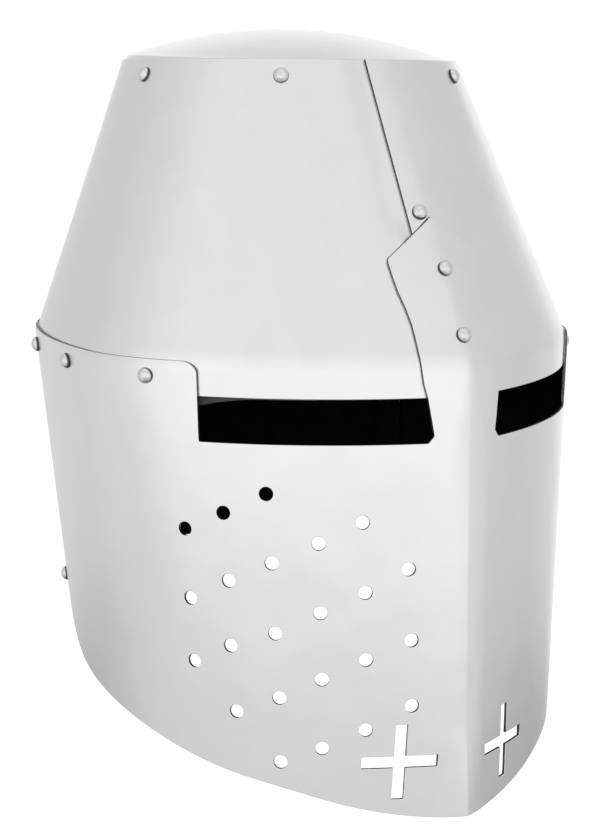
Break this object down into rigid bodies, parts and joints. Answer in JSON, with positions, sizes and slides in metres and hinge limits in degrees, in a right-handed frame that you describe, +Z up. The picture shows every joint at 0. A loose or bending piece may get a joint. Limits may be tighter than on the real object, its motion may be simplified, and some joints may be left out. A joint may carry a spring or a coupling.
{
  "type": "great helm",
  "caption": "Riveted steel great helm with a conical skull, shallow crown cap, nasal bar, two sights, breaths on the right, two crosses and a leather liner.",
  "frame": {"origin": "level with the lowest point of the front edge, on the upright axis through the widest part of the brow", "axes": "+Z up, the face looks along -Y, +X is the wearer's left"},
  "size_m": [0.2494, 0.2888, 0.334],
  "materials": {
    "steel": "satin polished",
    "rivet_steel": "polished",
    "leather": "worn, matt"
  },
  "bodies": {
    "root": {"skull_plate": "steel", "crown_cap": "steel", "face_plate": "steel", "rear_plate": "steel", "crown_rivets": "rivet_steel", "skull_lap_rivet": "rivet_steel", "nasal_rivets": "rivet_steel", "temple_rivets": "rivet_steel", "nape_rivets": "rivet_steel", "side_seam_rivets": "rivet_steel", "liner_band": "leather", "liner_tongue_1": "leather", "liner_tongue_2": "leather", "liner_tongue_3": "leather", "liner_tongue_4": "leather", "liner_tongue_5": "leather", "liner_tongue_6": "leather", "liner_tongue_7": "leather", "liner_tongue_8": "leather", "liner_tongue_9": "leather", "liner_tongue_10": "leather", "liner_tongue_11": "leather", "liner_tongue_12": "leather", "liner_disc": "leather", "liner_washers": "rivet_steel"}
  },
  "joints": []
}
